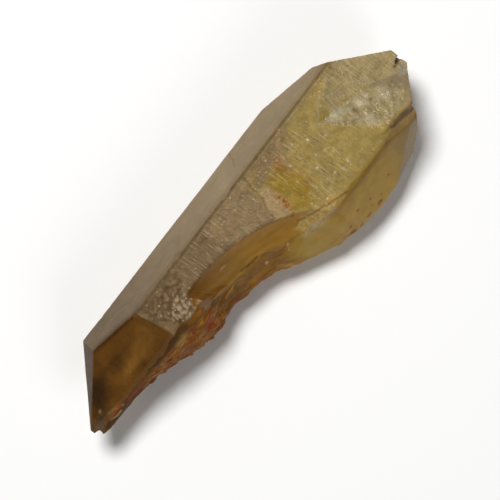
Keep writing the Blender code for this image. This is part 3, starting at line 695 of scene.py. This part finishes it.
levels = {  # the range that a pattern's values are taken from, and the range they are spread to
    "grainChoice": (0.97, 1.1, 0, 1), "grainShape": (0.2, 0.5, 1, 0), "grainBreak": (0.4, 0.55, 0.5, 1),
    "crestHighlights": (0.5, 0.68, 0, 1), "crestBreak": (0.38, 0.55, 0, 1),
    "veins": (0, 0.05, 1, 0), "blotches": (0.54, 0.62, 0, 1), "rustInside": (0.25, 0.75, 0, 1),
    "paleRust": (0.42, 0.55, 0, 1), "paleRustInside": (0.05, 0.6, 0, 1),
    "veilShade": (0.3, 0.7, -0.45, 0.5), "mottleShade": (0.3, 0.7, -0.22, 0.24),
    "gritShade": (0.3, 0.7, -0.14, 0.14), "streakShade": (0.3, 0.7, -0.4, 0.45),
    "ledgeShade": (0.3, 0.5, -0.35, 0),
}


def quartzMaterial():
    material = bpy.data.materials.new("smoky citrine")
    material.use_nodes = True
    nodes, links = material.node_tree.nodes, material.node_tree.links
    shader = nodes["Principled BSDF"]
    output = nodes["Material Output"]
    coords = nodes.new("ShaderNodeTexCoord").outputs["Object"]

    def fill(socket, value):
        if isinstance(value, bpy.types.NodeSocket):
            links.new(value, socket)
        else:
            socket.default_value = value

    def combine(operation, a, b, clamp=False):
        made = nodes.new("ShaderNodeMath")
        made.operation, made.use_clamp = operation, clamp
        fill(made.inputs[0], a)
        fill(made.inputs[1], b)
        return made.outputs[0]

    def painted(name):
        made = nodes.new("ShaderNodeAttribute")
        made.attribute_name = name
        return made.outputs["Color"]

    def parted(name):
        made = nodes.new("ShaderNodeSeparateColor")
        links.new(painted(name), made.inputs[0])
        return made.outputs[:3]

    def stretched(size, turn):
        # coordinates for a pattern that is size mm long, wide and deep, turned about Z
        made = nodes.new("ShaderNodeMapping")
        made.vector_type = "TEXTURE"
        made.inputs["Scale"].default_value = [side * mm for side in size]
        made.inputs["Rotation"].default_value = (0, 0, math.radians(turn))
        links.new(coords, made.inputs["Vector"])
        return made.outputs[0]

    def cloud(vector, scale, detail, rough, swirl):
        made = nodes.new("ShaderNodeTexNoise")
        links.new(vector, made.inputs["Vector"])
        settings = {"Scale": scale, "Detail": detail, "Roughness": rough, "Distortion": swirl}
        for name, value in settings.items():
            made.inputs[name].default_value = value
        return made.outputs[0]

    def longCloud(name):
        size, turn, detail, rough, swirl = longPatterns[name]
        return cloud(stretched(size, turn), 1.0, detail, rough, swirl)

    def swirled(vector, reach):
        # the same coordinates, pushed about by a noise
        noisy = nodes.new("ShaderNodeTexNoise")
        noisy.inputs["Scale"].default_value = quartz["swirlsPerMetre"]
        links.new(vector, noisy.inputs["Vector"])
        moved = nodes.new("ShaderNodeVectorMath")
        moved.operation = "MULTIPLY_ADD"
        links.new(noisy.outputs["Color"], moved.inputs[0])
        moved.inputs[1].default_value = (reach, reach, reach)
        links.new(vector, moved.inputs[2])
        return moved.outputs[0]

    def remap(value, name):
        made = nodes.new("ShaderNodeMapRange")
        links.new(value, made.inputs["Value"])
        for end, number in zip(("From Min", "From Max", "To Min", "To Max"), levels[name]):
            made.inputs[end].default_value = number
        return made.outputs[0]

    def mixed(factor, a, b, blend="MIX"):
        made = nodes.new("ShaderNodeMix")
        made.data_type, made.blend_type = "RGBA", blend
        fill(made.inputs[0], factor)
        fill(made.inputs[6], a)
        fill(made.inputs[7], b)
        return made.outputs[2]

    def plain(colour):
        return (*linearColour(colour), 1)

    clear, rough, grain = parted("finish")
    rust, ledges, frost = parted("marks")
    veil, mottle, streak = parted("shades")
    veils, mottled, gritty = (cloud(coords, *evenPatterns[name]) for name in ("veils", "mottled", "gritty"))
    streaks, ledgeNoise = longCloud("streaks"), longCloud("ledgeNoise")
    brokenUp, patches = longCloud("brokenUp"), longCloud("patches")
    cells = nodes.new("ShaderNodeTexVoronoi")
    cells.inputs["Scale"].default_value = quartz["grainsPerMetre"]
    links.new(swirled(coords, quartz["grainSwirl"]), cells.inputs["Vector"])
    cellNumber = nodes.new("ShaderNodeSeparateColor")
    links.new(cells.outputs["Color"], cellNumber.inputs[0])

    # pale grains, in as many of the cells as the frost asks for, and the growth ledges' tops, painted pale
    # as highlights
    chosen = remap(combine("ADD", cellNumber.outputs[0], frost), "grainChoice")
    grains = combine("MULTIPLY", chosen, remap(cells.outputs["Distance"], "grainShape"))
    grains = combine("MULTIPLY", grains, remap(gritty, "grainBreak"), True)
    crestHighlights = combine("MULTIPLY", remap(ledgeNoise, "crestHighlights"), remap(brokenUp, "crestBreak"))
    crestHighlights = combine("MULTIPLY", crestHighlights, ledges, True)
    # frosted holds the frost grains and the painted crest highlights, which both take from the clearness and
    # add to the bump
    frosted = combine("MAXIMUM", grains, crestHighlights)

    # iron stains: veins and patches
    vein = remap(combine("ABSOLUTE", combine("SUBTRACT", patches, 0.5), 0.0), "veins")
    rusty = combine("MAXIMUM", vein, remap(patches, "blotches"))
    rusty = combine("MULTIPLY", rusty, remap(rust, "rustInside"), True)
    rustEdge = combine("MULTIPLY", remap(patches, "paleRust"), remap(rust, "paleRustInside"), True)

    # light and dark shades of the tint
    shade = combine("MULTIPLY", veil, remap(veils, "veilShade"))
    speckle = combine("ADD", remap(mottled, "mottleShade"), remap(gritty, "gritShade"))
    shade = combine("ADD", shade, combine("MULTIPLY", mottle, speckle))
    shade = combine("ADD", shade, combine("MULTIPLY", streak, remap(streaks, "streakShade")))
    # painted shade: darker in the troughs beside the growth ledges
    shade = combine("ADD", shade, combine("MULTIPLY", ledges, remap(ledgeNoise, "ledgeShade")))
    shade = combine("ADD", shade, 1.0)
    grey = nodes.new("ShaderNodeCombineColor")
    for socket in grey.inputs:
        links.new(shade, socket)
    tint = mixed(1.0, painted("tint"), grey.outputs[0], "MULTIPLY")
    for mask, cover, colour in ((grains, "frostCover", "frostColour"), (crestHighlights, "crestHighlightCover", "crestHighlightColour"),
                                (rustEdge, "rustPaleCover", "rustPale"), (rusty, "rustCover", "rustColour")):
        tint = mixed(combine("MULTIPLY", mask, quartz[cover]), tint, plain(quartz[colour]))
    links.new(tint, shader.inputs["Base Color"])

    solid = combine("MAXIMUM", frosted, rustEdge)
    hiding = combine("SUBTRACT", 1.0, combine("MULTIPLY", solid, quartz["hiding"]))
    links.new(combine("MULTIPLY", clear, hiding, True), shader.inputs["Transmission Weight"])
    uneven = combine("MULTIPLY", combine("SUBTRACT", mottled, 0.5), quartz["unevenShine"])
    links.new(combine("ADD", rough, uneven, True), shader.inputs["Roughness"])

    grit = combine("MULTIPLY", gritty, quartz["gritHeight"])
    height = combine("MULTIPLY", grain, combine("ADD", mottled, grit))
    height = combine("ADD", height, combine("MULTIPLY", frosted, quartz["frostHeight"]))
    lines = combine("MULTIPLY", combine("MULTIPLY", ledges, ledgeNoise), quartz["ledgeHeight"])
    height = combine("ADD", height, lines)
    bump = nodes.new("ShaderNodeBump")
    bump.inputs["Distance"].default_value = quartz["bumpDepth"]
    bump.inputs["Strength"].default_value = 1.0
    links.new(height, bump.inputs["Height"])
    links.new(bump.outputs[0], shader.inputs["Normal"])

    shader.inputs["IOR"].default_value = quartz["ior"]
    shader.inputs["Specular IOR Level"].default_value = quartz["specular"]
    shader.inputs["Specular Tint"].default_value = (*quartz["specularTint"], 1)
    shader.inputs["Subsurface Weight"].default_value = quartz["glow"]
    shader.inputs["Subsurface Radius"].default_value = quartz["glowReach"]
    shader.inputs["Subsurface Scale"].default_value = quartz["glowScale"]
    absorb = nodes.new("ShaderNodeVolumeAbsorption")
    absorb.inputs["Color"].default_value = (*quartz["absorb"], 1)
    absorb.inputs["Density"].default_value = quartz["density"]
    links.new(absorb.outputs[0], output.inputs["Volume"])
    return material


masks = faceMasks(crystal)
print("places masked:", len(masks))
carved = carveRelief(crystal, masks)
print("relief carved")
paintSurface(crystal, masks, carved)
print("colours painted")
crystal.data.materials.append(quartzMaterial())
selectOnly(crystal)
bpy.ops.object.shade_smooth()
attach(crystal, "root")
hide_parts("citrine_crystal")
print("crystal finished")


# floor, light and camera

studio = {
    "floorColour": (0.97, 0.97, 0.965),
    "floorSize": 3.0,  # m
    "floorRough": 0.8,
    "worldStrength": 0.10,
    "keyPower": 5.0, "keySize": 0.22, "keyFrom": (0.09, 0.26, 0.70),
    "fillPower": 0.6, "fillSize": 0.3, "fillFrom": (-0.12, -0.42, 0.42),
    "lightsAim": (0, 0, 0.01),
    "screenTurn": 52.64,  # degrees from the picture's level to the crystal's length
    "lens": 200, "filmWidth": 36,  # mm
    "across": 0.0829,  # m of the scene that the picture's width shows
    "focusHeight": 0.011,
    "aim": (-0.00021, 0.00009),
}


def makeFloor():
    bpy.ops.object.select_all(action="DESELECT")
    bpy.ops.mesh.primitive_plane_add(size=studio["floorSize"], location=(0, 0, 0))
    floor = bpy.context.object
    floor.name = "floor"
    material = bpy.data.materials.new("pale floor")
    material.use_nodes = True
    shader = material.node_tree.nodes["Principled BSDF"]
    shader.inputs["Base Color"].default_value = (*studio["floorColour"], 1)
    shader.inputs["Roughness"].default_value = studio["floorRough"]
    floor.data.materials.append(material)


def areaLight(name, power, size, place):
    data = bpy.data.lights.new(name, "AREA")
    data.energy, data.size, data.shape = power, size, "DISK"
    light = bpy.data.objects.new(name, data)
    light.location = place
    shining = Vector(studio["lightsAim"]) - Vector(place)
    light.rotation_euler = shining.to_track_quat("-Z", "Y").to_euler()
    bpy.context.scene.collection.objects.link(light)


def makeCamera():
    data = bpy.data.cameras.new("camera")
    data.lens = studio["lens"]
    data.sensor_width = studio["filmWidth"]
    data.clip_start, data.clip_end = 0.01, 10
    camera = bpy.data.objects.new("camera", data)
    distance = studio["across"] * data.lens / data.sensor_width
    camera.location = (*studio["aim"], studio["focusHeight"] + distance)
    camera.rotation_euler = (0, 0, -math.radians(studio["screenTurn"]))
    bpy.context.scene.collection.objects.link(camera)
    bpy.context.scene.camera = camera


def makeWorld():
    world = bpy.data.worlds.new("studio")
    world.use_nodes = True
    background = world.node_tree.nodes["Background"]
    background.inputs["Color"].default_value = (1, 1, 1, 1)
    background.inputs["Strength"].default_value = studio["worldStrength"]
    bpy.context.scene.world = world


makeFloor()
areaLight("key", studio["keyPower"], studio["keySize"], studio["keyFrom"])
areaLight("fill", studio["fillPower"], studio["fillSize"], studio["fillFrom"])
makeCamera()
makeWorld()
bpy.context.scene.view_settings.view_transform = "Standard"
print("studio ready")
